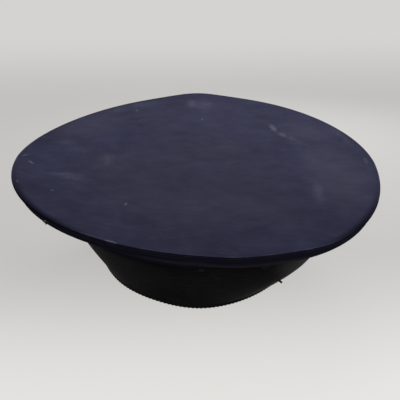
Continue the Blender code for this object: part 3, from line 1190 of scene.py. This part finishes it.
# %% Thread knot
KNOT_ANGLE = math.radians(226)
KNOT_STANDS_OUT = 0.0003
KNOT_BELOW = 0.0031
KNOT_SIZE = 0.00057
KNOT_WIDE = 1.2
KNOT_HIGH = 0.8
KNOT_RADIUS = 0.00072
KNOT_COLUMNS = 96
KNOT_LENGTH = 0.016
FLECK_OUT = 0.0010
FLECK_UP = 0.0012
knot_middle = under_rim(KNOT_ANGLE, -KNOT_STANDS_OUT, KNOT_BELOW)


def knot_path(share):
    """A trefoil knot, flat against the welt."""
    turn = math.tau * share
    out = rim_outward(KNOT_ANGLE)
    sideways = UP.cross(out).normalized()
    wide = math.sin(turn) + 2 * math.sin(2 * turn)
    high = math.cos(turn) - 2 * math.cos(2 * turn)
    flat = sideways * wide * KNOT_WIDE + UP * high * KNOT_HIGH
    return knot_middle + (flat - out * math.sin(3 * turn)) * KNOT_SIZE


fleck = AT_REST @ (knot_middle + rim_outward(KNOT_ANGLE) * FLECK_OUT + UP * FLECK_UP)
thread_finish = make_thread_finish(tuple(fleck))
knot = make_thread("thread_knot", knot_path, KNOT_RADIUS, rim_outward(KNOT_ANGLE), KNOT_COLUMNS,
                   KNOT_LENGTH)
finish_piece(knot, thread_finish, "navy_cloth")

# %% Thread end
END_ANGLE = math.radians(307.4)
END_LEAN = 0.36
END_LENGTH = 0.0034
END_ROOT = 0.0006
END_DROOP = 0.0007
END_RADIUS = 0.00078
END_COLUMNS = 12


def end_path(share):
    """A short thread out of the braid, which droops a little."""
    root = band_outline(END_ANGLE, END_LEAN, LIP + (BAND_HEIGHT - 2 * LIP) * END_LEAN)
    out = outward(band_outline, END_ANGLE)
    reach = END_LENGTH * share - END_ROOT
    return root + out * reach - UP * END_DROOP * share ** 2


thread_end = make_thread("thread_end", end_path, END_RADIUS, UP, END_COLUMNS, END_LENGTH)
in_edit_mode(lambda: bpy.ops.mesh.fill_holes(sides=0))
finish_piece(thread_end, mohair, "black_mohair")

# %% [markdown]
# The lengths that a panel and the braid are cut to.

# %% Flat sizes
print(f"cut: {1000 * PANEL_LENGTH:.0f} mm for a panel, {1000 * BAND_LENGTHS[-1]:.0f} mm of braid")

# %% [markdown]
# The camera looks at the cap from behind, at the photograph's angle to the cap. Its place is
# written for the worn cap as well, so the same matrix sets it for the cap at rest.

# %% Camera
CAMERA_ELEVATION = math.radians(25.89)
CAMERA_ROLL = math.radians(-0.52)
CAMERA_DISTANCE = 0.700
CAMERA_TARGET = Vector((0, 0, 0.060))
PICTURE_SIZE = 400
PICTURE_MIDDLE = (198.74, 173.53)
FOCAL_PIXELS = 867.5
SENSOR = 36

bpy.ops.object.camera_add()
camera = bpy.context.object
back = Vector((0, -math.cos(CAMERA_ELEVATION), math.sin(CAMERA_ELEVATION)))
facing = Matrix.Rotation(math.pi / 2 - CAMERA_ELEVATION, 4, "X") @ Matrix.Rotation(CAMERA_ROLL, 4, "Z")
camera.matrix_world = AT_REST @ Matrix.Translation(CAMERA_TARGET + back * CAMERA_DISTANCE) @ facing
camera.data.sensor_width = SENSOR
camera.data.lens = FOCAL_PIXELS / PICTURE_SIZE * SENSOR
camera.data.shift_x = (PICTURE_SIZE / 2 - PICTURE_MIDDLE[0]) / PICTURE_SIZE
camera.data.shift_y = (PICTURE_MIDDLE[1] - PICTURE_SIZE / 2) / PICTURE_SIZE
camera.data.clip_end = 50
bpy.context.scene.camera = camera
print(f"camera: {camera.data.lens:.1f} mm lens, {camera.location.z:.3f} m above the floor")

# %% [markdown]
# The floor is plain and pale, and it glows a little like a light table, so the cap's dark
# underside stands out against it and its shadow stays faint. It glows more towards the viewer,
# and a little more far away.

# %% Floor
PALE = (1.0, 0.985, 0.96, 1)
FLOOR_GLOW = 0.49
NEAR_GLOW = 0.25
NEAR_REACH = (0.02, -0.23)
FAR_GLOW = 0.14
FAR_REACH = (0.4, 1.0)

bpy.ops.mesh.primitive_plane_add(size=12, location=(0, 2, 0))
floor = bpy.context.object
floor.name = "floor"
bpy.ops.object.transform_apply(location=True)
paper, paper_tree, paper_shader = open_material(
    "pale_floor", roughness=0.9, Specular_IOR_Level=0.1, Base_Color=(0.08, 0.079, 0.077, 1),
    Emission_Color=PALE,
)
place = add(paper_tree, "TexCoord", {}).outputs["Object"]
ahead = add(paper_tree, "SeparateXYZ", {0: place}).outputs[1]
near = fade(paper_tree, ahead, *NEAR_REACH)
far = fade(paper_tree, ahead, *FAR_REACH)
glow = times(paper_tree, near, NEAR_GLOW, FLOOR_GLOW)
glow = times(paper_tree, far, FAR_GLOW, glow)
paper_tree.links.new(glow, paper_shader.inputs["Emission Strength"])
floor.data.materials.append(paper)
print("made", floor.name)

# %% [markdown]
# The main light is a soft one low behind the cap, which makes the far side of the top brighter
# than the near side. Polished leather doesn't mirror it, because it would leave a hard bright
# patch on the peak. A weaker light stands on the right, with pale air all round, which looks
# warmer and brighter to the camera than it lights.


# %% Lights
def soft_light(name, place, aim, size, power, spread, mirrored):
    """An area light. One that isn't mirrored leaves no bright patch on polished leather."""
    bpy.ops.object.light_add(type="AREA", location=place)
    light = bpy.context.object
    light.name = name
    light.data.size = size
    light.data.energy = power
    light.data.spread = math.radians(spread)
    light.visible_glossy = mirrored
    light.rotation_euler = (Vector(aim) - Vector(place)).to_track_quat("-Z", "Y").to_euler()
    print(f"{name}: {power} W, {size} m wide")


soft_light("light_behind", place=(0.17, 0.45, 0.33), aim=(0.05, 0.12, 0.08), size=0.30,
           power=2.1, spread=120, mirrored=False)
soft_light("light_right", place=(1.5, -0.4, 0.9), aim=(0, 0, 0.05), size=1.0,
           power=4.5, spread=120, mirrored=True)

# %% Air
AIR_TINT = (0.95, 0.97, 1.0, 1)
AIR_LIGHT = 0.26
SEEN_BRIGHTER = 0.40

air = bpy.data.worlds.new("pale_air")
air.use_nodes = True
sky = air.node_tree.nodes["Background"].inputs
seen = add(air.node_tree, "LightPath", {}).outputs["Is Camera Ray"]
tint = blend_colour(air.node_tree, seen, AIR_TINT, PALE)
strength = times(air.node_tree, seen, SEEN_BRIGHTER, AIR_LIGHT)
air.node_tree.links.new(tint, sky["Color"])
air.node_tree.links.new(strength, sky["Strength"])
bpy.context.scene.world = air
bpy.context.scene.view_settings.view_transform = "Standard"
print("made", air.name)
